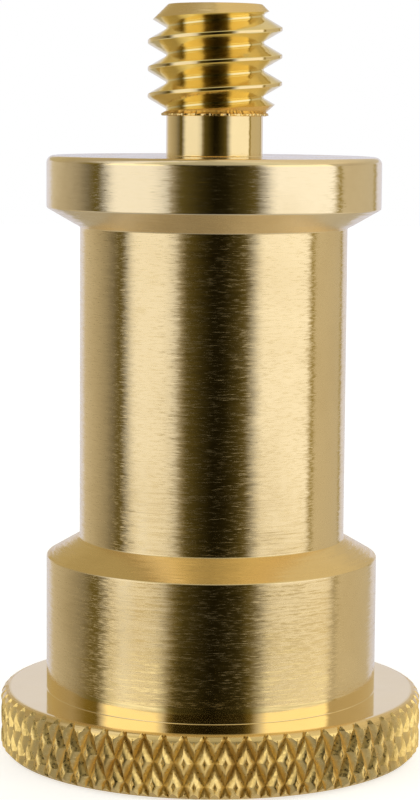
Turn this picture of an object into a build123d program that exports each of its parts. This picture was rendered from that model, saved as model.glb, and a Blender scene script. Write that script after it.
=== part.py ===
"""Brass adapter stud for cameras and lights, turned from one bar.

From the bottom up it has a knurled foot, a collar, a long waist that a clamp
screw closes on, a head, a relief neck and a male camera thread. A tripod-size
tapped hole enters the foot from below. Millimetres, +Z up the turning axis,
with the origin at the centre of the foot's underside.
"""
import os
from math import ceil, cos, floor, pi, radians, sin, tan

from build123d import *

# Stud: two 5/8 in diameters with a 1/2 in waist between them
STUD_DIA = 15.875
WAIST_DIA = 12.7
COLLAR_HEIGHT = 6.45
WAIST_LENGTH = 14.8
HEAD_HEIGHT = 2.45
HEAD_ROUND = 0.35
SHOULDER_SLOPE = 30.0

# Foot, measured over the tips of its knurl
FOOT_DIA = 20.26
FOOT_HEIGHT = 2.95
FOOT_TOP_CHAMFER = 0.38
FOOT_BOTTOM_CHAMFER = 0.3

# Diamond knurl, two sets of V grooves that cross
KNURL_PITCH = 0.95
KNURL_ANGLE = 24.0
KNURL_DEPTH = 0.27
KNURL_FIRST_ROW = 0.59

# Male camera thread, 1/4 in with 20 turns to the inch
THREAD_DIA = 6.35
THREAD_PITCH = 1.27
THREAD_FLANKS = 60.0
THREAD_CREST_FLAT = 0.16
THREAD_ROOT_FLAT = 0.11
THREAD_LENGTH = 5.25
THREAD_TIP_CHAMFER = 0.95
THREAD_START_TURN = -88.0

# Relief neck between the head and the thread, cut just under the thread's root
NECK_HEIGHT = 1.85
NECK_UNDERCUT = 0.025

# Blind hole in the foot, drilled for a 3/8 in thread with 16 turns to the inch
TAP_DRILL_DIA = 7.9375
TAP_DEPTH = 10.0
TAP_COUNTERSINK = 0.95
DRILL_POINT_ANGLE = 118.0

# Radii, and heights up the axis, each from the one below it
STUD = STUD_DIA / 2
WAIST = WAIST_DIA / 2
RIM = FOOT_DIA / 2
CREST = THREAD_DIA / 2
FLANK_SLOPE = tan(radians(THREAD_FLANKS / 2))
ROOT = CREST - (THREAD_PITCH - THREAD_CREST_FLAT - THREAD_ROOT_FLAT) / 2 / FLANK_SLOPE
NECK = ROOT - NECK_UNDERCUT
SHOULDER_HEIGHT = (STUD - WAIST) * tan(radians(SHOULDER_SLOPE))
COLLAR_TOP = FOOT_HEIGHT + COLLAR_HEIGHT
WAIST_BOTTOM = COLLAR_TOP + SHOULDER_HEIGHT
WAIST_TOP = WAIST_BOTTOM + WAIST_LENGTH
HEAD_BOTTOM = WAIST_TOP + SHOULDER_HEIGHT
HEAD_TOP = HEAD_BOTTOM + HEAD_HEIGHT
THREAD_BOTTOM = HEAD_TOP + NECK_HEIGHT
THREAD_TOP = THREAD_BOTTOM + THREAD_LENGTH


def turned(*edges):
    """Turn a closed outline of (radius, height) edges round the axis."""
    return revolve(Plane.XZ * make_face(Curve() + list(edges)), Axis.Z)


def stud_body():
    """The collar, waist, head and neck, with a sloped shoulder at each end of the waist."""
    side = Polyline(
        (0, FOOT_HEIGHT),
        (STUD, FOOT_HEIGHT),
        (STUD, COLLAR_TOP),
        (WAIST, WAIST_BOTTOM),
        (WAIST, WAIST_TOP),
        (STUD, HEAD_BOTTOM),
        (STUD, HEAD_TOP - HEAD_ROUND),
    )
    rim = TangentArc((STUD, HEAD_TOP - HEAD_ROUND), (STUD - HEAD_ROUND, HEAD_TOP), tangent=(0, 1))
    seat_and_neck = Polyline(
        (STUD - HEAD_ROUND, HEAD_TOP),
        (NECK, HEAD_TOP),
        (NECK, THREAD_BOTTOM),
        (0, THREAD_BOTTOM),
        (0, FOOT_HEIGHT),
    )
    return turned(side, rim, seat_and_neck)


def foot_blank():
    """The foot as turned, oversize at its edge, with both rims chamfered."""
    spare = KNURL_DEPTH
    bottom = FOOT_BOTTOM_CHAMFER
    top = FOOT_HEIGHT - FOOT_TOP_CHAMFER
    return turned(
        Polyline(
            (0, 0),
            (RIM - bottom, 0),
            (RIM + spare, bottom + spare),
            (RIM + spare, top - spare),
            (RIM - FOOT_TOP_CHAMFER, FOOT_HEIGHT),
            (0, FOOT_HEIGHT),
            (0, 0),
        )
    )


def around(radius, turn, height):
    """A point at a radius, a turn in degrees round the axis, and a height."""
    return Vector(radius * cos(radians(turn)), radius * sin(radians(turn)), height)


def flat(*corners):
    """A flat face between corners."""
    return Face(Wire.make_polygon(corners))


def knurl_diamond(turn, height, half_turn, half_height):
    """One diamond: four groove flanks that rise to a tip."""
    valley = RIM - KNURL_DEPTH
    tip = around(RIM, turn, height)
    low = [
        around(valley, turn - half_turn, height),
        around(valley, turn, height - half_height),
        around(valley, turn + half_turn, height),
        around(valley, turn, height + half_height),
    ]
    return [flat(low[i - 1], low[i], tip) for i in range(4)]


def knurled_bar():
    """A bar end with diamonds all round, longer than the foot at both ends."""
    count = round(pi * FOOT_DIA / KNURL_PITCH)
    half_turn = 180 / count
    half_height = RIM * radians(half_turn) / tan(radians(KNURL_ANGLE))
    first = floor(-KNURL_FIRST_ROW / half_height)
    last = ceil((FOOT_HEIGHT - KNURL_FIRST_ROW) / half_height)
    faces = []
    for row in range(first, last + 1):
        height = KNURL_FIRST_ROW + row * half_height
        for place in range(count):
            turn = (2 * place + row % 2) * half_turn
            faces += knurl_diamond(turn, height, half_turn, half_height)
    for row, end in ((first, first - 1), (last, last + 1)):
        faces += bar_end(row, end, count, half_turn, half_height)
    return Solid(Shell(faces))


def bar_end(row, end, count, half_turn, half_height):
    """Faces from the tips of the outermost diamonds to a point on the axis."""
    valley = RIM - KNURL_DEPTH
    inner = KNURL_FIRST_ROW + row * half_height
    outer = KNURL_FIRST_ROW + end * half_height
    centre = Vector(0, 0, outer)
    faces = []
    for place in range(count):
        turn = (2 * place + row % 2) * half_turn
        tip = around(valley, turn, outer)
        for side in (-half_turn, half_turn):
            faces.append(flat(centre, tip, around(valley, turn + side, inner)))
    return faces


def foot():
    """The knurled foot."""
    return foot_blank() & knurled_bar()


def groove_turn():
    """One turn of the space between the thread's crests, centred at the helix's start."""
    outside = CREST + THREAD_CREST_FLAT / 4 / FLANK_SLOPE
    root_half = THREAD_ROOT_FLAT / 2
    outside_half = root_half + (outside - ROOT) * FLANK_SLOPE
    section = Polyline(
        (ROOT, 0, -root_half),
        (outside, 0, -outside_half),
        (outside, 0, outside_half),
        (ROOT, 0, root_half),
        (ROOT, 0, -root_half),
    )
    path = Helix(THREAD_PITCH, THREAD_PITCH, ROOT)
    return Rot(0, 0, THREAD_START_TURN) * sweep(make_face(section), path, is_frenet=True)


def camera_thread():
    """The threaded end, chamfered at both ends, with its groove cut turn by turn."""
    thread = turned(
        Polyline(
            (0, THREAD_BOTTOM),
            (NECK, THREAD_BOTTOM),
            (CREST, THREAD_BOTTOM + CREST - NECK),
            (CREST, THREAD_TOP - THREAD_TIP_CHAMFER),
            (CREST - THREAD_TIP_CHAMFER, THREAD_TOP),
            (0, THREAD_TOP),
            (0, THREAD_BOTTOM),
        )
    )
    start = THREAD_BOTTOM - 1.5 * THREAD_PITCH
    groove = groove_turn()
    for turn in range(ceil(THREAD_LENGTH / THREAD_PITCH) + 2):
        thread -= Pos(0, 0, start + turn * THREAD_PITCH) * groove
    return thread


def tapping_hole():
    """The blind hole at its tapping size, with its countersink and drill point."""
    bore = TAP_DRILL_DIA / 2
    point = bore / tan(radians(DRILL_POINT_ANGLE / 2))
    return turned(
        Polyline(
            (0, 0),
            (bore + TAP_COUNTERSINK, 0),
            (bore, TAP_COUNTERSINK),
            (bore, TAP_DEPTH),
            (0, TAP_DEPTH + point),
            (0, 0),
        )
    )


def adapter_stud():
    """The whole stud as one solid."""
    return stud_body() + camera_thread() + foot() - tapping_hole()


os.makedirs("parts", exist_ok=True)
export_step(adapter_stud(), "parts/adapter_stud.step")
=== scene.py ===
"""Looks of the brass adapter stud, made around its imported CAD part.

The stud is turned as a blank, knurled at its foot, and threaded at both ends,
in the order that a machinist works in. It stands on a pale floor in a light
tent whose panels give the metal its bands. Sizes are in millimetres and the
finished piece is in metres, in the frame of the CAD part.
"""

import logging
import math
from collections.abc import Callable, Sequence
from dataclasses import dataclass, field
from enum import Enum

import bmesh
import bpy
from mathutils import Matrix, Vector


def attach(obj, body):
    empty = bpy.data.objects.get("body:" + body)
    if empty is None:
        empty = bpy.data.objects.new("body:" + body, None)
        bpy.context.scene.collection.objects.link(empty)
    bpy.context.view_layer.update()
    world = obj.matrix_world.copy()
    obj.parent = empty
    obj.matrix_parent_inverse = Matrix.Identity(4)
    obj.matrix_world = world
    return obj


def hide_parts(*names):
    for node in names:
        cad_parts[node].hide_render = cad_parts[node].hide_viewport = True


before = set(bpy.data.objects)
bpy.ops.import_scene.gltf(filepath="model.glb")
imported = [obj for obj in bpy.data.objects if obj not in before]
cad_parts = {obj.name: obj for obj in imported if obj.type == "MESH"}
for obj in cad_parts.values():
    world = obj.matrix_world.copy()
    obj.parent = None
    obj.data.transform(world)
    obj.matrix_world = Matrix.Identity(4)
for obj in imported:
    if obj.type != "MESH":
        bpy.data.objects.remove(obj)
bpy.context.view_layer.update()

MM = 0.001
# How near two places are the same one, and how near a face lies to a surface, in millimetres
MERGE = 0.0004
SLACK = 0.01
FULL_TURN = 2 * math.pi
# Radii that the blank shares with the tools that cut it, and the depth of the knurl
FOOT = 10.13
CREST = 3.175
BORE = 3.96875
KNURL_DEPTH = 0.27
# The slope of a thread's flanks, which lean 30 degrees
FLANK = math.tan(math.radians(30))
# The knurl's diamonds round the foot, and the blank's steps, four to a diamond
DIAMONDS = 67
STEPS = 4 * DIAMONDS
# The Mix node's colour inputs and its colour output, by number because their names aren't their own
MIX_A, MIX_B, MIX_COLOUR = 6, 7, 2
log = logging.getLogger("adapter_stud")

Outline = Sequence[tuple[float, float]]


# Modelling steps that several pieces share


def deselect_all() -> None:
    if bpy.context.object and bpy.context.object.mode != "OBJECT":
        bpy.ops.object.mode_set(mode="OBJECT")
    bpy.ops.object.select_all(action="DESELECT")


def make_active(piece: bpy.types.Object) -> None:
    """Select one object alone and make it the active one.

    Args:
        piece: The object that the next operators act on.
    """
    deselect_all()
    piece.select_set(True)
    bpy.context.view_layer.objects.active = piece


def select_vertices(piece: bpy.types.Object, wanted: Callable[[Vector], bool]) -> None:
    """Select the vertices of a mesh in edit mode by their place.

    Args:
        piece: The object in edit mode.
        wanted: Says of a vertex's place whether it is selected.
    """
    bpy.ops.mesh.select_mode(type="VERT")
    mesh = bmesh.from_edit_mesh(piece.data)
    for vertex in mesh.verts:
        vertex.select = wanted(vertex.co)
    mesh.select_flush(True)
    mesh.select_flush(False)
    bmesh.update_edit_mesh(piece.data)


def at(radius: float, turn: float, height: float) -> Vector:
    """A place from its radius, its turn about the axis in degrees, and its height."""
    angle = math.radians(turn)
    return Vector((radius * math.cos(angle), radius * math.sin(angle), height))


def draw_outline(
    name: str, outline: Outline, turn: float = 0.0, closed: bool = False
) -> bpy.types.Object:
    """Draw a line of (radius, height) points in a half plane that holds the axis.

    Args:
        name: The new object's name.
        outline: The points, in millimetres.
        turn: The half plane's angle about the axis, in degrees.
        closed: Whether the last point joins the first.

    Returns:
        The object, in edit mode, with its last vertex selected.
    """
    deselect_all()
    places = [at(radius, turn, height) for radius, height in outline]
    bpy.ops.mesh.primitive_plane_add(size=1, location=(0, 0, 0))
    piece = bpy.context.object
    piece.name = name
    bpy.ops.object.mode_set(mode="EDIT")
    bpy.ops.mesh.select_mode(type="VERT")
    bpy.ops.mesh.merge(type="CENTER")
    bpy.ops.transform.translate(value=places[0])
    for here, there in zip(places, places[1:]):
        bpy.ops.mesh.extrude_vertices_move(TRANSFORM_OT_translate={"value": there - here})
    if closed:
        ends = (places[0], places[-1])
        select_vertices(piece, lambda place: any((place - end).length < MERGE for end in ends))
        bpy.ops.mesh.edge_face_add()
    return piece


def close_shell() -> None:
    """Merge doubles and point all faces outwards, in edit mode."""
    bpy.ops.mesh.select_all(action="SELECT")
    bpy.ops.mesh.remove_doubles(threshold=MERGE)
    bpy.ops.mesh.normals_make_consistent(inside=False)
    bpy.ops.object.mode_set(mode="OBJECT")


def apply_modifiers(piece: bpy.types.Object) -> None:
    """Apply every modifier of a piece, from the first to the last.

    Args:
        piece: The object whose mesh takes the modifiers up.
    """
    make_active(piece)
    for modifier in list(piece.modifiers):
        bpy.ops.object.modifier_apply(modifier=modifier.name)


def bring_to_metres(piece: bpy.types.Object) -> None:
    """Scale a finished piece from millimetres to metres, about the origin.

    Args:
        piece: The object, which ends unscaled with its place in its mesh.
    """
    make_active(piece)
    bpy.ops.object.transform_apply(location=True, rotation=True, scale=True)
    piece.scale = (MM, MM, MM)
    bpy.ops.object.transform_apply(location=True, rotation=True, scale=True)


def cut_away(piece: bpy.types.Object, tool: bpy.types.Object) -> None:
    """Cut a tool's shape out of a piece, whose cut faces take the tool's material.

    Args:
        piece: The closed mesh that is cut.
        tool: The closed mesh that is cut away, which is then deleted.
    """
    cut = piece.modifiers.new(f"cut_{tool.name}", "BOOLEAN")
    cut.operation = "DIFFERENCE"
    cut.solver = "EXACT"
    cut.material_mode = "TRANSFER"
    cut.object = tool
    apply_modifiers(piece)
    bpy.data.objects.remove(tool)


# Finishes


@dataclass(frozen=True)
class Grain:
    """A noise on the metal, as shares of a length round the stud and of one along it.

    The shift is in metres, and keeps one noise from repeating another.
    """

    around: float = 1.0
    along: float = 1.0
    detail: float = 2.0
    shift: tuple[float, float, float] = (0.0, 0.0, 0.0)
    roughness: float = 0.6


MARKS = Grain()
RIPPLE = Grain(0.6, 1.7, 1.0, (0.0131, 0.0077, 0.0049))
SCRATCHES = Grain(0.2, 0.6, 2.0, (0.0043, 0.0091, 0.0027))
CLOUDS = Grain(1.0, 1.0, 3.0, (0.021, 0.013, 0.034))
# A clouded patch's size in millimetres
CLOUD_SIZE = 3.5
# Where a noise counts: its usual ends, its middle, its deepest marks and its stained patches
ENDS = (0.25, 0.75)
MIDDLE = (0.3, 0.7)
DEEP = (0.47, 0.68)
STAINED = (0.45, 0.8)
# The roughness between the tool marks and in them, as shares of the finish's own
GLOSS = (0.65, 1.5)
# The gloss stands a quarter turn from the tangent, which runs round the stud
GLOSS_TURN = 0.25
UPWARDS = (0.0, 0.0, 1.0)


def linear(colour: str) -> tuple[float, float, float, float]:
    """Turn an sRGB hex colour into a linear one with an alpha of 1.

    Args:
        colour: The colour as # and six hex digits.

    Returns:
        Red, green, blue and alpha.
    """
    channels = [int(colour[i : i + 2], 16) / 255 for i in (1, 3, 5)]
    parts = [c / 12.92 if c <= 0.04045 else ((c + 0.055) / 1.055) ** 2.4 for c in channels]
    return (parts[0], parts[1], parts[2], 1.0)


def add_node(
    tree: bpy.types.NodeTree, kind: str, links: dict | None = None, **settings: object
) -> bpy.types.Node:
    """Add a node to a tree.

    Args:
        tree: The tree of a material or world.
        kind: The node's type without its ShaderNode prefix.
        links: Maps an input's name or number to an output socket or to a plain value.
        settings: The node's own properties.

    Returns:
        The new node.
    """
    node = tree.nodes.new(f"ShaderNode{kind}")
    for name, value in settings.items():
        setattr(node, name, value)
    for name, source in (links or {}).items():
        if isinstance(source, bpy.types.NodeSocket):
            tree.links.new(source, node.inputs[name])
        else:
            node.inputs[name].default_value = source
    return node


def new_material(name: str) -> tuple[bpy.types.Material, bpy.types.NodeTree]:
    """Make an empty node material.

    Args:
        name: The material's name.

    Returns:
        The material and its tree.
    """
    material = bpy.data.materials.new(name)
    material.use_nodes = True
    material.node_tree.nodes.clear()
    return material, material.node_tree


@dataclass(frozen=True)
class Brass:
    """Free-cutting brass, bare and bright, as one step of the work left it.

    The alloy is the same everywhere. What differs is how coarse the tool marks
    are, how far they throw the light up and down, how much they waver, and how
    much haze the deepest scratches spread. A mark's feed and streak are its size
    along the axis and round it, in millimetres. The marks are drawn coarser than
    the real ones, which the render couldn't show.
    """

    name: str
    colour: str = "#F4DCA6"
    dull: str = "#C9AC72"
    roughness: float = 0.12
    anisotropy: float = 0.6
    feed: float = 0.08
    streak: float = 2.2
    tilt: float = 0.05
    waver: float = 0.03
    burst: float = 0.0
    haze: float = 0.0
    soiling: float = 0.25

    def material(self) -> bpy.types.Material:
        """Build the finish as a node material.

        Returns:
            The material, which reads Object coordinates in metres.
        """
        material, tree = new_material(self.name)
        place = add_node(tree, "TexCoord").outputs["Object"]
        marks = self._noise(tree, place, MARKS, self.streak, self.feed)
        ripple = self._noise(tree, place, RIPPLE, self.streak, self.feed)
        scratches = self._noise(tree, place, SCRATCHES, self.streak, self.feed)
        cloud = self._noise(tree, place, CLOUDS, CLOUD_SIZE, CLOUD_SIZE)
        tangent = add_node(tree, "Tangent", direction_type="RADIAL", axis="Z").outputs[0]
        normal = add_node(tree, "NewGeometry").outputs["Normal"]
        pushed = normal
        for noise, reach, burst, direction in (
            (ripple, self.waver, 0.0, tangent),
            (scratches, 0.0, self.burst, tangent),
            (marks, self.tilt, 0.0, UPWARDS),
        ):
            push = self._swing(tree, noise, reach, burst, direction)
            pushed = add_node(tree, "VectorMath", {0: pushed, 1: push}, operation="ADD").outputs[0]
        pushed = add_node(tree, "VectorMath", {0: pushed}, operation="NORMALIZE").outputs[0]
        haze = add_node(
            tree,
            "MapRange",
            {
                "Value": scratches,
                "From Min": DEEP[0],
                "From Max": DEEP[1],
                "To Min": 0.0,
                "To Max": self.haze,
            },
        ).outputs[0]
        stain = add_node(
            tree,
            "MapRange",
            {
                "Value": cloud,
                "From Min": STAINED[0],
                "From Max": STAINED[1],
                "To Min": 0.0,
                "To Max": self.soiling,
            },
        ).outputs[0]
        tones = {0: stain, MIX_A: linear(self.colour), MIX_B: linear(self.dull)}
        tone = add_node(tree, "Mix", tones, data_type="RGBA")
        gloss = add_node(
            tree,
            "MapRange",
            {
                "Value": marks,
                "From Min": MIDDLE[0],
                "From Max": MIDDLE[1],
                "To Min": self.roughness * GLOSS[0],
                "To Max": self.roughness * GLOSS[1],
            },
        ).outputs[0]
        gloss = add_node(tree, "Math", {0: gloss, 1: haze}, operation="ADD").outputs[0]
        shader = add_node(
            tree,
            "BsdfPrincipled",
            {
                "Base Color": tone.outputs[MIX_COLOUR],
                "Metallic": 1.0,
                "Roughness": gloss,
                "Anisotropic": self.anisotropy,
                "Anisotropic Rotation": GLOSS_TURN,
                "Tangent": tangent,
                "Normal": pushed,
            },
        )
        add_node(tree, "OutputMaterial", {"Surface": shader.outputs[0]})
        return material

    def _noise(
        self,
        tree: bpy.types.NodeTree,
        place: bpy.types.NodeSocket,
        grain: Grain,
        around: float,
        along: float,
    ) -> bpy.types.NodeSocket:
        """Noise whose grains have one size around the stud and another along it.

        Args:
            tree: The material's tree.
            place: The Object coordinates.
            grain: The noise, with its shares of the two lengths.
            around: The length across the axis, in millimetres.
            along: The length along the axis, in millimetres.

        Returns:
            The noise value's socket.
        """
        width, height = around * grain.around * MM, along * grain.along * MM
        scale = (1 / width, 1 / width, 1 / height)
        moved = [distance * factor for distance, factor in zip(grain.shift, scale)]
        mapped = add_node(tree, "Mapping", {"Vector": place, "Location": moved, "Scale": scale})
        noise = add_node(
            tree,
            "TexNoise",
            {
                "Vector": mapped.outputs[0],
                "Scale": 1.0,
                "Detail": grain.detail,
                "Roughness": grain.roughness,
            },
        )
        return noise.outputs[0]

    def _swing(
        self,
        tree: bpy.types.NodeTree,
        noise: bpy.types.NodeSocket,
        reach: float,
        burst: float,
        direction: bpy.types.NodeSocket | tuple[float, float, float],
    ) -> bpy.types.NodeSocket:
        """A vector along a direction that swings both ways with a noise.

        Args:
            tree: The material's tree.
            noise: A noise value from 0 to 1.
            reach: The vector's length where the noise is at its ends.
            burst: What the few deepest marks add to that length.
            direction: The direction as a socket or as numbers.

        Returns:
            The vector's socket.
        """
        swing = add_node(
            tree,
            "MapRange",
            {
                "Value": noise,
                "From Min": ENDS[0],
                "From Max": ENDS[1],
                "To Min": -1.0,
                "To Max": 1.0,
            },
            clamp=False,
        ).outputs[0]
        squared = add_node(tree, "Math", {0: swing, 1: swing}, operation="MULTIPLY").outputs[0]
        length = add_node(
            tree, "Math", {0: squared, 1: burst, 2: reach}, operation="MULTIPLY_ADD"
        ).outputs[0]
        length = add_node(tree, "Math", {0: length, 1: swing}, operation="MULTIPLY").outputs[0]
        scaled = add_node(tree, "VectorMath", {0: direction, "Scale": length}, operation="SCALE")
        return scaled.outputs[0]


class Finish(Enum):
    """How each part of the stud was cut, with the look that it has from it, and the head's paler
    colour, which is painted highlight.
    """

    # Fine feed marks round the cylinders blur the bands up and down and fray their edges
    TURNED = Brass(
        "brass_fine_turned",
        colour="#F5DEAF",
        roughness=0.11,
        anisotropy=0.5,
        tilt=0.022,
        waver=0.016,
        burst=0.06,
        haze=0.2,
    )
    # The head was cut at a finer feed, so its bands are crisper; its paler colour is painted
    # highlight, for the near-white shine that the lamps give the head
    FACED = Brass(
        "brass_head_turned_painted_highlight",
        colour="#F7E4BE",
        roughness=0.1,
        anisotropy=0.5,
        tilt=0.02,
        waver=0.01,
        burst=0.05,
        haze=0.12,
    )
    # The neck and the thread's crests are mirror bright
    POLISHED = Brass(
        "brass_polished",
        roughness=0.07,
        anisotropy=0.3,
        tilt=0.012,
        waver=0.008,
        haze=0.04,
        soiling=0.15,
    )
    # The foot's top and the collar's lower end were faced in one cut and burnished
    BURNISHED = Brass(
        "brass_burnished",
        colour="#F7E2B2",
        roughness=0.07,
        anisotropy=0.3,
        tilt=0.012,
        waver=0.008,
        haze=0.04,
        soiling=0.1,
    )
    # The shoulders were cut with a form tool, which left them matt
    SATIN = Brass(
        "brass_form_cut",
        colour="#F3D698",
        roughness=0.2,
        anisotropy=0.3,
        feed=0.05,
        tilt=0.06,
        waver=0.03,
        burst=0.1,
    )
    # The head's own shoulder has the head's paler tone, which is painted highlight
    SATIN_HEAD = Brass(
        "brass_head_form_cut_painted_highlight",
        colour="#F7E4BE",
        roughness=0.18,
        anisotropy=0.3,
        feed=0.06,
        tilt=0.04,
        waver=0.03,
        burst=0.06,
    )
    # The thread's flanks throw light at each other, which deepens the gold
    THREAD = Brass(
        "brass_cut_thread", colour="#F6E2A4", roughness=0.1, anisotropy=0.0, tilt=0.012, waver=0.02
    )
    # The knurl is pressed in and never wiped clean, and soft to the light; its browner colour is
    # partly real soiling and partly painted light that the diamonds throw at each other
    KNURL = Brass(
        "brass_pressed_knurl",
        colour="#FFE198",
        dull="#CCA254",
        roughness=0.33,
        anisotropy=0.0,
        feed=0.12,
        streak=0.12,
        waver=0.06,
        soiling=0.7,
    )


# The stud


@dataclass
class Blank:
    """The stud as it comes off the lathe, before its knurl and threads.

    The foot, stud, waist, neck, crest and bore are radii, and a name in bottom or
    top is a height.
    """

    foot: float = FOOT
    foot_height: float = 2.95
    bottom_chamfer: float = 0.3
    # The foot is left oversize for the knurl up to this height, and by this much
    spare_top: float = 1.9
    spare: float = KNURL_DEPTH
    # The foot's rounded upper rim: how far in, how far down, and each corner's rounding
    rim: tuple[tuple[float, float, float], ...] = (
        (0.0, 0.38, 0.0),
        (0.08, 0.19, 0.06),
        (0.2, 0.055, 0.06),
        (0.42, 0.0, 0.08),
    )
    stud: float = 7.9375
    waist: float = 6.35
    polished_to: float = 3.65
    collar_top: float = 9.4
    waist_bottom: float = 10.3165
    waist_top: float = 25.1165
    head_bottom: float = 26.033
    head_top: float = 28.483
    head_round: float = 0.35
    neck: float = 2.284
    thread_bottom: float = 30.333
    thread_top: float = 35.583
    crest: float = CREST
    tip_chamfer: float = 0.95
    bore: float = BORE
    bore_depth: float = 10.0
    countersink: float = 0.95
    drill_point: float = 2.385
    # The burr that the tool pushed up where the thread runs out: how far out and how far up
    burr: Outline = ((0.0, 0.03), (0.24, 0.06), (0.24, 0.14), (0.14, 0.2))
    burr_wear: float = 0.035
    burr_evenness: float = 0.2
    burr_seed: int = 4
    # Roundings of the turned edges
    sharp_edge: float = 0.03
    edge: float = 0.06
    waist_edge: float = 0.05
    crest_edge: float = 0.02
    edge_segments: int = 3
    round_segments: int = 7
    steps: int = STEPS

    def outline(self) -> list[tuple[float, float, float]]:
        """The turned outline from the bore's point to the thread's tip.

        Returns:
            Radius, height and the width of the rounding at each corner.
        """
        run_out = self.crest - self.neck
        top = self.foot_height
        rim = [(self.foot - inward, top - down, width) for inward, down, width in self.rim]
        burr = [(self.neck + outward, self.thread_bottom + up, 0) for outward, up in self.burr]
        return [
            (0, self.bore_depth + self.drill_point, 0),
            (self.bore, self.bore_depth, 0),
            (self.bore, self.countersink, 0),
            (self.bore + self.countersink, 0, self.sharp_edge),
            (self.foot - self.bottom_chamfer, 0, self.sharp_edge),
            (self.foot + self.spare, self.bottom_chamfer + self.spare, 0),
            (self.foot + self.spare, self.spare_top, 0),
            *rim,
            (self.stud, self.foot_height, self.sharp_edge),
            (self.stud, self.polished_to, 0),
            (self.stud, self.collar_top, self.edge),
            (self.waist, self.waist_bottom, self.waist_edge),
            (self.waist, self.waist_top, self.waist_edge),
            (self.stud, self.head_bottom, self.edge),
            (self.stud, self.head_top, self.head_round),
            (self.neck, self.head_top, self.edge),
            *burr,
            (self.crest, self.thread_bottom + run_out, 0),
            (self.crest, self.thread_top - self.tip_chamfer, self.crest_edge),
            (self.crest - self.tip_chamfer, self.thread_top, self.sharp_edge),
            (0, self.thread_top, 0),
        ]

    def build(self) -> bpy.types.Object:
        """Draw the outline, round its corners and turn it about the axis.

        Returns:
            The closed blank, in millimetres.
        """
        corners = self.outline()
        blank = draw_outline("blank", [(radius, height) for radius, height, _ in corners])
        for width in sorted({width for *_, width in corners if width}):
            places = [at(radius, 0, height) for radius, height, own in corners if own == width]
            select_vertices(blank, lambda here: any((here - p).length < MERGE for p in places))
            segments = self.round_segments if width == self.head_round else self.edge_segments
            bpy.ops.mesh.bevel(offset=width, segments=segments, affect="VERTICES")
        bpy.ops.mesh.select_all(action="SELECT")
        bpy.ops.mesh.spin(steps=self.steps, angle=FULL_TURN, center=(0, 0, 0), axis=(0, 0, 1))
        close_shell()
        self._ruffle(blank)
        return blank

    def _ruffle(self, blank: bpy.types.Object) -> None:
        """Make the burr uneven round the stud.

        Args:
            blank: The turned blank, in object mode.
        """
        bpy.ops.object.mode_set(mode="EDIT")
        outermost = max(outward for outward, _ in self.burr)
        heights = [self.thread_bottom + up for outward, up in self.burr if outward == outermost]
        low, high = min(heights) - SLACK, max(heights) + SLACK
        edge = self.neck + outermost - SLACK
        select_vertices(blank, lambda p: low < p.z < high and math.hypot(p.x, p.y) > edge)
        bpy.ops.transform.vertex_random(
            offset=self.burr_wear, uniform=self.burr_evenness, normal=0.0, seed=self.burr_seed
        )
        bpy.ops.object.mode_set(mode="OBJECT")


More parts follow.
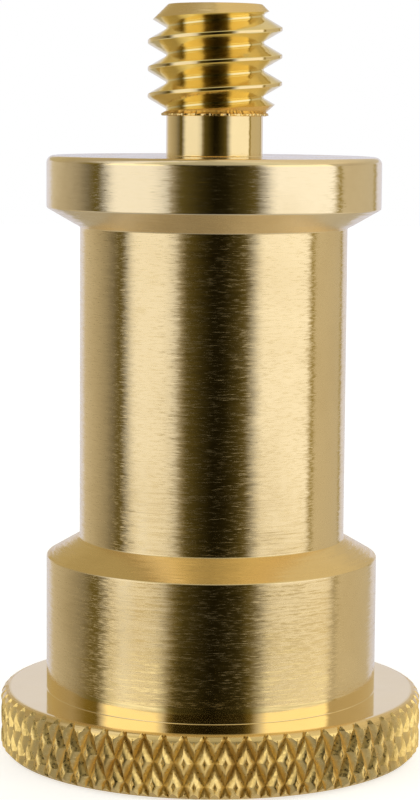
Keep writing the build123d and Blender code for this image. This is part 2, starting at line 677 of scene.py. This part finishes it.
@dataclass
class KnurlTool:
    """What the knurl takes off the foot: a sleeve with a pit for each diamond."""

    foot: float = FOOT
    depth: float = KNURL_DEPTH
    count: int = DIAMONDS
    half_height: float = 1.067
    first_row: float = 0.59
    rows: int = 3
    outside: float = 11.5
    # How far apart the corners of two neighbouring diamonds may lie
    seam: float = 0.002
    # From the groove to the dimple: a ring's share of the whole diamond, and its rise
    profile: Outline = ((0.73, 0.13), (0.5, 0.215), (0.28, 0.262), (0.2, 0.27), (0.12, 0.228))

    def build(self) -> bpy.types.Object:
        """Model one diamond, repeat it round and up the foot, and wall it in.

        Returns:
            The closed sleeve, in millimetres.
        """
        cell = self._diamond()
        make_active(cell)
        self._repeat(cell)
        bpy.ops.object.mode_set(mode="EDIT")
        bpy.ops.mesh.select_all(action="SELECT")
        bpy.ops.mesh.remove_doubles(threshold=self.seam)
        self._wall_in(cell)
        close_shell()
        return cell

    def _diamond(self) -> bpy.types.Object:
        """One diamond at the front turn: groove bottoms, flanks, and a dimpled tip.

        Returns:
            The diamond's open mesh.
        """
        half_turn = 180 / self.count
        valley = self.foot - self.depth
        side = valley * math.sin(math.radians(half_turn))
        sag = valley * (1 - math.cos(math.radians(half_turn)))
        deselect_all()
        bpy.ops.mesh.primitive_circle_add(
            vertices=4, radius=1, fill_type="NGON", rotation=(0, math.pi / 2, 0)
        )
        cell = bpy.context.object
        cell.name = "knurl_tool"
        bpy.ops.object.transform_apply(rotation=True)
        bpy.ops.object.mode_set(mode="EDIT")
        bpy.ops.transform.resize(value=(1, side, self.half_height))
        bpy.ops.transform.translate(value=(valley, 0, 0))
        select_vertices(cell, lambda place: abs(place.y) > side / 2)
        bpy.ops.transform.translate(value=(-sag, 0, 0))
        bpy.ops.mesh.select_all(action="SELECT")
        for share, rise in self.profile:
            self._inset_to(cell, share, valley + rise, side)
        bpy.ops.object.mode_set(mode="OBJECT")
        cell.location = (0, 0, self.first_row - self.half_height)
        bpy.ops.object.transform_apply(location=True)
        return cell

    def _inset_to(self, cell: bpy.types.Object, share: float, radius: float, side: float) -> None:
        """Inset the diamond's face in place, and shrink and raise the new ring.

        Args:
            cell: The diamond, in edit mode, with its middle face selected.
            share: The new ring's size as a share of the whole diamond.
            radius: The new ring's distance from the axis.
            side: The whole diamond's half width.
        """
        bpy.ops.mesh.inset(thickness=0, depth=0)
        mesh = bmesh.from_edit_mesh(cell.data)
        ring = [vertex for vertex in mesh.verts if vertex.select]
        width = max(abs(vertex.co.y) for vertex in ring)
        scale = share * side / width
        bpy.ops.transform.resize(value=(0, scale, scale), center_override=(radius, 0, 0))

    def _repeat(self, cell: bpy.types.Object) -> None:
        """Stagger the diamond, then copy it upwards and round the foot.

        Args:
            cell: The diamond, whose mesh becomes the whole band.
        """
        half_turn = FULL_TURN / 2 / self.count
        for name, turn, rise, count in (
            ("stagger", half_turn, self.half_height, 2),
            ("rows", 0.0, 2 * self.half_height, self.rows),
            ("round", 2 * half_turn, 0.0, self.count),
        ):
            step = bpy.data.objects.new(name, None)
            bpy.context.scene.collection.objects.link(step)
            step.location = (0, 0, rise)
            step.rotation_euler = (0, 0, turn)
            bpy.context.view_layer.update()
            array = cell.modifiers.new(name, "ARRAY")
            array.count = count
            array.use_relative_offset = False
            array.use_object_offset = True
            array.offset_object = step
            apply_modifiers(cell)
            bpy.data.objects.remove(step)

    def _wall_in(self, cell: bpy.types.Object) -> None:
        """Join the band's two open edges round its outside, which closes the sleeve.

        Args:
            cell: The band, in edit mode.
        """
        bpy.ops.mesh.select_all(action="DESELECT")
        bpy.ops.mesh.select_mode(type="EDGE")
        bpy.ops.mesh.select_non_manifold(extend=False)
        bpy.ops.mesh.extrude_edges_move()
        widen = self.outside / (self.foot - self.depth)
        bpy.ops.transform.resize(value=(widen, widen, 1), center_override=(0, 0, 0))
        bpy.ops.mesh.bridge_edge_loops()


@dataclass
class ThreadTool:
    """What a thread takes out: one V groove that winds up the axis."""

    name: str
    section: Outline
    pitch: float
    start: float
    turns: int
    start_turn: float = 0.0
    steps: int = STEPS // 2

    def build(self) -> bpy.types.Object:
        """Draw the groove's section and wind it up the axis, right-handed.

        Returns:
            The closed groove, in millimetres.
        """
        section = [(radius, self.start + height) for radius, height in self.section]
        tool = draw_outline(self.name, section, self.start_turn, closed=True)
        bpy.ops.object.mode_set(mode="OBJECT")
        winding = tool.modifiers.new("winding", "SCREW")
        winding.axis = "Z"
        winding.angle = FULL_TURN
        winding.screw_offset = self.pitch
        winding.iterations = self.turns
        winding.steps = winding.render_steps = self.steps
        apply_modifiers(tool)
        bpy.ops.object.mode_set(mode="EDIT")
        bpy.ops.mesh.select_all(action="SELECT")
        bpy.ops.mesh.remove_doubles(threshold=MERGE)
        bpy.ops.mesh.select_all(action="SELECT")
        bpy.ops.mesh.fill_holes(sides=0)
        close_shell()
        return tool


@dataclass
class CameraThread:
    """The male thread, 1/4 in with 20 turns to the inch."""

    crest: float = CREST
    root: float = 2.309
    pitch: float = 1.27
    start: float = 29.698
    start_turn: float = -88.0
    turns: int = 6
    flank: float = FLANK
    # Half the root's flat, before and after its corners are broken
    root_half: float = 0.055
    root_broken: float = 0.038
    # How deep the root's and the crests' corners are broken
    edge: float = 0.02
    # The groove goes past the crests, where half of its mouth is this wide
    past_crest: float = 0.03
    mouth_half: float = 0.63

    def tool(self) -> ThreadTool:
        """The groove with a broken root, straight flanks and broken crest edges.

        Returns:
            The tool that cuts it.
        """
        top = self.crest - self.edge
        half = [
            (self.root, self.root_broken),
            (self.root + self.edge, self.root_half + self.edge * self.flank),
            (top, self.root_half + (top - self.root) * self.flank),
            (self.crest + self.past_crest, self.mouth_half),
        ]
        section = [(radius, -height) for radius, height in half] + half[::-1]
        return ThreadTool(
            "camera_thread_tool", section, self.pitch, self.start, self.turns, self.start_turn
        )


@dataclass
class TappedHole:
    """The inner thread of the foot, 3/8 in with 16 turns to the inch."""

    major: float = 4.7625
    bore: float = BORE
    pitch: float = 1.5875
    start: float = -0.7
    turns: int = 6
    flank: float = FLANK
    # The groove's bottom is this share of the pitch wide
    root_share: float = 1 / 8
    # The groove starts this far inside the bore's wall, so that it opens into the bore
    past_wall: float = 0.04

    def tool(self) -> ThreadTool:
        """The groove that the tap cuts, from under the foot to near the bore's end.

        Returns:
            The tool that cuts it.
        """
        root_half = self.pitch * self.root_share / 2
        inside = self.bore - self.past_wall
        half = [(inside, root_half + (self.major - inside) * self.flank), (self.major, root_half)]
        section = [(radius, -height) for radius, height in half] + half[::-1]
        return ThreadTool("tapped_hole_tool", section, self.pitch, self.start, self.turns)


@dataclass
class AdapterStud:
    """The whole stud: one piece of brass, turned, knurled and threaded."""

    blank: Blank = field(default_factory=Blank)
    knurl: KnurlTool = field(default_factory=KnurlTool)
    thread: CameraThread = field(default_factory=CameraThread)
    tapping: TappedHole = field(default_factory=TappedHole)
    # Edges under this angle shade smoothly, by faces of the same area in square millimetres
    smooth_angle: float = 16.0
    same_area: float = 0.001
    area_weight: int = 100
    # How far a finish keeps from the bore's wall and from the head, and from a shoulder's ends
    wall_reach: float = 0.05
    shoulder_reach: float = 0.03

    def build(self) -> bpy.types.Object:
        """Make the stud and give each of its surfaces its finish.

        Returns:
            The finished piece, in metres.
        """
        stud = self.blank.build()
        stud.name = stud.data.name = "turned_stud"
        finishes = {finish: finish.value.material() for finish in Finish}
        for material in finishes.values():
            stud.data.materials.append(material)
        self._dress(stud)
        for tool, finish in (
            (self.knurl.build(), Finish.KNURL),
            (self.thread.tool().build(), Finish.THREAD),
            (self.tapping.tool().build(), Finish.THREAD),
        ):
            tool.data.materials.append(finishes[finish])
            cut_away(stud, tool)
        make_active(stud)
        bpy.ops.object.mode_set(mode="EDIT")
        close_shell()
        bpy.ops.object.shade_smooth_by_angle(angle=math.radians(self.smooth_angle))
        shading = stud.modifiers.new("even_shading", "WEIGHTED_NORMAL")
        shading.weight = self.area_weight
        shading.thresh = self.same_area
        shading.keep_sharp = True
        apply_modifiers(stud)
        bring_to_metres(stud)
        return stud

    def _dress(self, stud: bpy.types.Object) -> None:
        """Give each turned surface its finish by its place.

        Args:
            stud: The blank with one material slot for each finish, in their order.
        """
        order = {finish: index for index, finish in enumerate(Finish)}
        for face in stud.data.polygons:
            radius, height = math.hypot(face.center.x, face.center.y), face.center.z
            face.material_index = order[self._finish_at(radius, height)]

    def _finish_at(self, radius: float, height: float) -> Finish:
        """The finish that a turned surface has by its place.

        Args:
            radius: The surface's distance from the axis, in millimetres.
            height: Its height, in millimetres.

        Returns:
            The finish.
        """
        blank, shoulder = self.blank, self.shoulder_reach
        if height > blank.thread_bottom - SLACK or radius < blank.bore + self.wall_reach:
            under_tip = height < blank.thread_top - blank.tip_chamfer
            on_crest = radius > blank.crest - SLACK and blank.head_top < height and under_tip
            on_neck = blank.head_top < height < blank.thread_bottom
            return Finish.POLISHED if on_neck or on_crest else Finish.SATIN
        if height < blank.polished_to:
            return Finish.BURNISHED if height > blank.foot_height - SLACK else Finish.SATIN
        on_shoulder = blank.waist + shoulder < radius < blank.stud - shoulder
        if on_shoulder and height < blank.head_bottom:
            return Finish.SATIN_HEAD if height > blank.waist_top else Finish.SATIN
        return Finish.FACED if height > blank.head_bottom - self.wall_reach else Finish.TURNED


# Stage, light and camera


class Cloth(Enum):
    """What the tent is hung with, as the colour of its light."""

    PANEL = "#FFFFFF"
    SIDE = "#FFF3D7"
    BACK = "#F4F3FF"
    # What the table throws back near the brass, and beside it
    WARM = "#FFEFC8"
    GOLD = "#FFFBE1"
    # The lining under the roof, behind the stud
    AMBER = "#FFEEBD"
    # The unlit room behind the camera
    ROOM = "#FFE680"


@dataclass(frozen=True)
class TentStop:
    """Where the tent's wall has a brightness: degrees from the front, right is positive."""

    turn: float
    brightness: float
    cloth: Cloth

    def colour(self, share: float) -> tuple[float, float, float, float]:
        """The cloth's colour at this brightness.

        Args:
            share: What the brightness is multiplied by.

        Returns:
            The linear colour, with an alpha of 1.
        """
        red, green, blue, _ = linear(self.cloth.value)
        level = self.brightness * share
        return (red * level, green * level, blue * level, 1.0)


def hang(cloth: Cloth, *places: tuple[float, float]) -> tuple[TentStop, ...]:
    """Make the stops of one cloth.

    Args:
        cloth: What hangs there.
        places: The turn and the brightness of each stop.

    Returns:
        The stops, in the order of the places.
    """
    return tuple(TentStop(turn, brightness, cloth) for turn, brightness in places)


@dataclass(frozen=True)
class TentZone:
    """The tent's light all round past a height, which is full at a second one."""

    begin: float
    full: float
    stops: tuple[TentStop, ...]


@dataclass
class LightTent:
    """The tent that the stud is photographed in, which only the metal and floor see.

    Two bright panels stand left and right, with the dark opening for the camera
    between them. Grey walls follow to the sides, and a paler one behind. The tent
    goes on below the floor, as the far end of what the table mirrors.
    """

    radius: float = 600.0
    reach: float = 700.0
    # The stops are stored at a share of 1 over this, because some are brighter than white
    strength: float = 2.0
    steps: int = 96
    # At the stud's own height, which the upright cylinders see
    wall: tuple[TentStop, ...] = (
        *hang(Cloth.BACK, (-152, 0.82)),
        *hang(Cloth.SIDE, (-143, 0.62), (-123, 0.5), (-112, 0.42), (-103, 0.33), (-95, 0.2)),
        *hang(Cloth.ROOM, (-88, 0.12), (-84, 0.125)),
        *hang(
            Cloth.PANEL, (-80, 0.33), (-73, 0.87), (-69, 1), (-42, 0.98), (-35, 0.84), (-31, 0.66),
        ),
        *hang(Cloth.SIDE, (-28.5, 0.34)),
        *hang(Cloth.ROOM, (-23, 0.1), (-9, 0.03), (0, 0.008), (9, 0.012), (20, 0.05), (28, 0.11)),
        *hang(Cloth.PANEL, (33.5, 0.43), (39, 0.91), (43, 1.08), (88, 1.1)),
        *hang(Cloth.SIDE, (91, 0.55)),
        *hang(Cloth.ROOM, (93, 0.3), (95, 0.3)),
        *hang(Cloth.SIDE, (97.5, 0.61), (138, 0.56)),
        *hang(Cloth.ROOM, (143, 0.35)),
        *hang(Cloth.BACK, (149, 0.82)),
    )
    zones: tuple[TentZone, ...] = (
        # Below the floor, as a polished table mirrors it: the collar's lower half sees it
        TentZone(
            -85.0,
            -118.0,
            (
                *hang(Cloth.BACK, (-152, 0.78)),
                *hang(Cloth.SIDE, (-143, 0.6), (-123, 0.46), (-112, 0.36), (-100, 0.24)),
                *hang(Cloth.ROOM, (-90, 0.13), (-83, 0.13)),
                *hang(Cloth.WARM, (-77, 0.23), (-70.5, 0.43)),
                *hang(Cloth.PANEL, (-64, 0.71), (-60, 0.69)),
                *hang(Cloth.WARM, (-52, 0.6), (-38, 0.45), (-31.5, 0.33)),
                *hang(
                    Cloth.ROOM, (-26, 0.16), (-20, 0.055), (-10, 0.022), (0, 0.008), (14, 0.016),
                    (20, 0.035), (25, 0.1),
                ),
                *hang(
                    Cloth.WARM, (33, 0.19), (38.5, 0.35), (42, 0.44), (60, 0.53), (83, 0.67),
                    (87, 0.65),
                ),
                *hang(Cloth.SIDE, (91, 0.48), (94, 0.42), (97, 0.62), (138, 0.56)),
                *hang(Cloth.BACK, (149, 0.78)),
            ),
        ),
        # The table's near edge, which the collar's burnished end sees
        TentZone(
            -134.0,
            -146.0,
            (
                *hang(Cloth.BACK, (-152, 0.78)),
                *hang(Cloth.SIDE, (-143, 0.6), (-112, 0.4)),
                *hang(Cloth.ROOM, (-95, 0.2), (-85, 0.12)),
                *hang(Cloth.GOLD, (-80, 0.5), (-75, 1.12), (-38, 1.1), (-33, 0.6)),
                *hang(Cloth.ROOM, (-29, 0.15), (-24, 0.03), (0, 0.008), (22, 0.03), (28, 0.16)),
                *hang(Cloth.GOLD, (34, 0.6), (39, 1.1), (86, 1.12)),
                *hang(Cloth.SIDE, (90, 0.5), (96, 0.56), (140, 0.56)),
                *hang(Cloth.BACK, (149, 0.78)),
            ),
        ),
        # Under the table, which the head's shoulder and the knurl see
        TentZone(
            -165.0,
            -200.0,
            (
                *hang(Cloth.SIDE, (-150, 0.45), (-110, 0.62), (-88, 0.8)),
                *hang(Cloth.WARM, (-75, 0.8), (-36, 0.5)),
                *hang(Cloth.ROOM, (-25, 0.08), (0, 0.008), (24, 0.06)),
                *hang(Cloth.WARM, (38, 0.5), (88, 0.85)),
                *hang(Cloth.SIDE, (100, 0.85), (150, 0.5)),
            ),
        ),
        # The tent's bottom, which the head's shoulder sees by way of the waist
        TentZone(
            -290.0,
            -520.0,
            (
                *hang(Cloth.SIDE, (-150, 0.42)),
                *hang(
                    Cloth.PANEL, (-115, 0.58), (-60, 0.38), (-25, 0.34), (0, 0.36), (25, 0.46),
                    (60, 0.6), (100, 0.72),
                ),
                *hang(Cloth.SIDE, (150, 0.55)),
            ),
        ),
        # The tent's upper part, which the foot's top sees
        TentZone(
            95.0,
            130.0,
            (
                *hang(Cloth.BACK, (-173, 0.84)),
                *hang(Cloth.AMBER, (-165, 0.5), (-143, 0.5)),
                *hang(Cloth.SIDE, (-112, 0.4)),
                *hang(Cloth.ROOM, (-95, 0.2), (-85, 0.15)),
                *hang(Cloth.PANEL, (-80, 0.7)),
                *hang(Cloth.GOLD, (-75, 1.32), (-38, 1.28)),
                *hang(Cloth.PANEL, (-33, 0.7)),
                *hang(Cloth.ROOM, (-29, 0.15), (-24, 0.03), (0, 0.008), (22, 0.03), (28, 0.16)),
                *hang(Cloth.PANEL, (34, 0.7)),
                *hang(Cloth.GOLD, (39, 1.26), (86, 1.3)),
                *hang(Cloth.SIDE, (90, 0.5), (165, 0.58)),
                *hang(Cloth.BACK, (173, 0.84)),
            ),
        ),
        # The roof's sides, which the collar's shoulder sees
        TentZone(
            210.0,
            450.0,
            (
                *hang(Cloth.AMBER, (-150, 0.44)),
                *hang(Cloth.SIDE, (-110, 0.4)),
                *hang(Cloth.PANEL, (-85, 0.8), (-70, 1.0)),
                *hang(Cloth.GOLD, (-55, 0.76), (-25, 0.48), (0, 0.46), (25, 0.56), (60, 0.78)),
                *hang(Cloth.SIDE, (90, 0.76), (150, 0.7)),
            ),
        ),
    )

    def build(self) -> None:
        """Make the tent as one drum, closed above and below."""
        side = [(self.radius, -self.reach), (self.radius, self.reach)]
        drum = draw_outline("light_tent", [(0, -self.reach), *side, (0, self.reach)])
        bpy.ops.mesh.select_all(action="SELECT")
        bpy.ops.mesh.spin(steps=self.steps, angle=FULL_TURN, center=(0, 0, 0), axis=(0, 0, 1))
        close_shell()
        bring_to_metres(drum)
        drum.data.materials.append(self._cloth())
        drum.visible_camera = False
        drum.visible_shadow = False

    def _cloth(self) -> bpy.types.Material:
        """The glowing cloth, whose light goes by its turn from the front and its height.

        Returns:
            The material.
        """
        material, tree = new_material("tent_cloth")
        place = add_node(tree, "TexCoord").outputs["Object"]
        parts = add_node(tree, "SeparateXYZ", {0: place})
        ahead = add_node(
            tree, "Math", {0: parts.outputs["Y"], 1: -1.0}, operation="MULTIPLY"
        ).outputs[0]
        turn = add_node(
            tree, "Math", {0: parts.outputs["X"], 1: ahead}, operation="ARCTAN2"
        ).outputs[0]
        share = add_node(
            tree, "MapRange", {"Value": turn, "From Min": -math.pi, "From Max": math.pi}
        ).outputs[0]
        height = parts.outputs["Z"]
        light = self._ramp(tree, share, self.wall)
        for zone in self.zones:
            light = self._blend(tree, height, zone, light, self._ramp(tree, share, zone.stops))
        glow = add_node(tree, "Emission", {"Color": light, "Strength": self.strength})
        add_node(tree, "OutputMaterial", {"Surface": glow.outputs[0]})
        return material

    def _ramp(
        self, tree: bpy.types.NodeTree, share: bpy.types.NodeSocket, wanted: tuple[TentStop, ...]
    ) -> bpy.types.NodeSocket:
        """A colour that goes through the stops once round the tent.

        Args:
            tree: The cloth's tree.
            share: How far round the tent a place is, from 0 to 1.
            wanted: The stops, in the order of their turns.

        Returns:
            The colour's socket.
        """
        ramp = add_node(tree, "ValToRGB", {"Fac": share})
        stops = ramp.color_ramp.elements
        while len(stops) < len(wanted):
            stops.new(0.5)
        for stop, tent_stop in zip(stops, wanted):
            stop.position = (tent_stop.turn + 180) / 360
            stop.color = tent_stop.colour(1 / self.strength)
        return ramp.outputs["Color"]

    def _blend(
        self,
        tree: bpy.types.NodeTree,
        height: bpy.types.NodeSocket,
        zone: TentZone,
        before: bpy.types.NodeSocket,
        inside: bpy.types.NodeSocket,
    ) -> bpy.types.NodeSocket:
        """Go over from the light so far to a zone's own between its two heights.

        Args:
            tree: The cloth's tree.
            height: The height, in metres.
            zone: The zone, whose heights are in millimetres.
            before: The light so far.
            inside: The zone's light.

        Returns:
            The blended light's socket.
        """
        share = add_node(
            tree,
            "MapRange",
            {"Value": height, "From Min": zone.begin * MM, "From Max": zone.full * MM},
            interpolation_type="SMOOTHSTEP",
        ).outputs[0]
        light = add_node(tree, "Mix", {0: share, MIX_A: before, MIX_B: inside}, data_type="RGBA")
        return light.outputs[MIX_COLOUR]


@dataclass
class Studio:
    """The pale floor and the white surroundings."""

    # In metres: how wide the floor is, and how far under the foot it lies
    floor_size: float = 1.1
    floor_gap: float = 0.0001
    floor_sides: int = 96
    floor_colour: str = "#E8ECF8"
    floor_lift: float = 0.6

    def build(self) -> None:
        """Make the floor and set the world."""
        deselect_all()
        bpy.ops.mesh.primitive_circle_add(
            vertices=self.floor_sides,
            radius=self.floor_size / 2,
            fill_type="NGON",
            location=(0, 0, -self.floor_gap),
        )
        floor = bpy.context.object
        floor.name = "floor"
        floor.data.materials.append(self._floor_material())
        floor.visible_glossy = False
        self._set_world()

    def _floor_material(self) -> bpy.types.Material:
        """Matt white paper, lifted to white for what the camera and the metal see of it.

        Returns:
            The material, which keeps the stud's shadow.
        """
        material, tree = new_material("floor_white_paper")
        paper = add_node(tree, "BsdfDiffuse", {"Color": linear(self.floor_colour)})
        lift = add_node(tree, "Emission", {"Strength": self._seen(tree, self.floor_lift)})
        both = add_node(tree, "AddShader", {0: paper.outputs[0], 1: lift.outputs[0]})
        add_node(tree, "OutputMaterial", {"Surface": both.outputs[0]})
        return material

    def _seen(self, tree: bpy.types.NodeTree, strength: float) -> bpy.types.NodeSocket:
        """A strength for camera, glossy and transmission rays, and none for the rest.

        Args:
            tree: The tree of the floor's material or of the world.
            strength: The strength for those rays.

        Returns:
            The strength's socket.
        """
        path = add_node(tree, "LightPath")
        seen = path.outputs["Is Camera Ray"]
        for kind in ("Is Glossy Ray", "Is Transmission Ray"):
            seen = add_node(
                tree, "Math", {0: seen, 1: path.outputs[kind]}, operation="MAXIMUM"
            ).outputs[0]
        return add_node(tree, "Math", {0: seen, 1: strength}, operation="MULTIPLY").outputs[0]

    def _set_world(self) -> None:
        """A world that is white where it is seen and gives no light of its own."""
        world = bpy.data.worlds.new("white_surroundings")
        bpy.context.scene.world = world
        world.use_nodes = True
        tree = world.node_tree
        tree.nodes.clear()
        strength = self._seen(tree, 1.0)
        glow = add_node(tree, "Background", {"Color": (1, 1, 1, 1), "Strength": strength})
        add_node(tree, "OutputWorld", {"Surface": glow.outputs[0]})


@dataclass
class Camera:
    """The photograph's camera: a long lens, close to the stud and a little above its middle.

    Its place, lens and sensor are in millimetres, and its turns in degrees.
    """

    place: tuple[float, float, float] = (0.0, -116.2345, 30.537)
    down: float = 6.7175
    left: float = 0.0591
    roll: float = 0.4271
    lens: float = 109.9
    sensor: float = 36.0
    # In metres
    nearest: float = 0.01
    farthest: float = 10.0

    def build(self) -> None:
        """Make the camera and turn it to the stud."""
        pitch, yaw, roll = (math.radians(angle) for angle in (self.down, -self.left, self.roll))
        level = math.cos(pitch)
        ahead = Vector((math.sin(yaw) * level, math.cos(yaw) * level, -math.sin(pitch)))
        right = Vector((math.cos(yaw), -math.sin(yaw), 0))
        up = right.cross(ahead)
        across = right * math.cos(roll) + up * math.sin(roll)
        above = up * math.cos(roll) - right * math.sin(roll)
        data = bpy.data.cameras.new("camera")
        data.lens = self.lens
        data.sensor_width = self.sensor
        data.clip_start, data.clip_end = self.nearest, self.farthest
        camera = bpy.data.objects.new("camera", data)
        bpy.context.scene.collection.objects.link(camera)
        turn = Matrix((across, above, -ahead)).transposed()
        camera.matrix_world = Matrix.Translation(Vector(self.place) * MM) @ turn.to_4x4()
        bpy.context.scene.camera = camera


def main() -> None:
    """Build the stud, its light and its camera, in that order."""
    logging.basicConfig(level=logging.INFO, format="%(message)s")
    bpy.context.scene.view_settings.view_transform = "Standard"
    Camera().build()
    stud = AdapterStud().build()
    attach(stud, "root")
    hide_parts("adapter_stud")
    stud.data.calc_loop_triangles()
    log.info("%s: %d triangles", stud.name, len(stud.data.loop_triangles))
    LightTent().build()
    Studio().build()


if __name__ == "__main__":
    main()
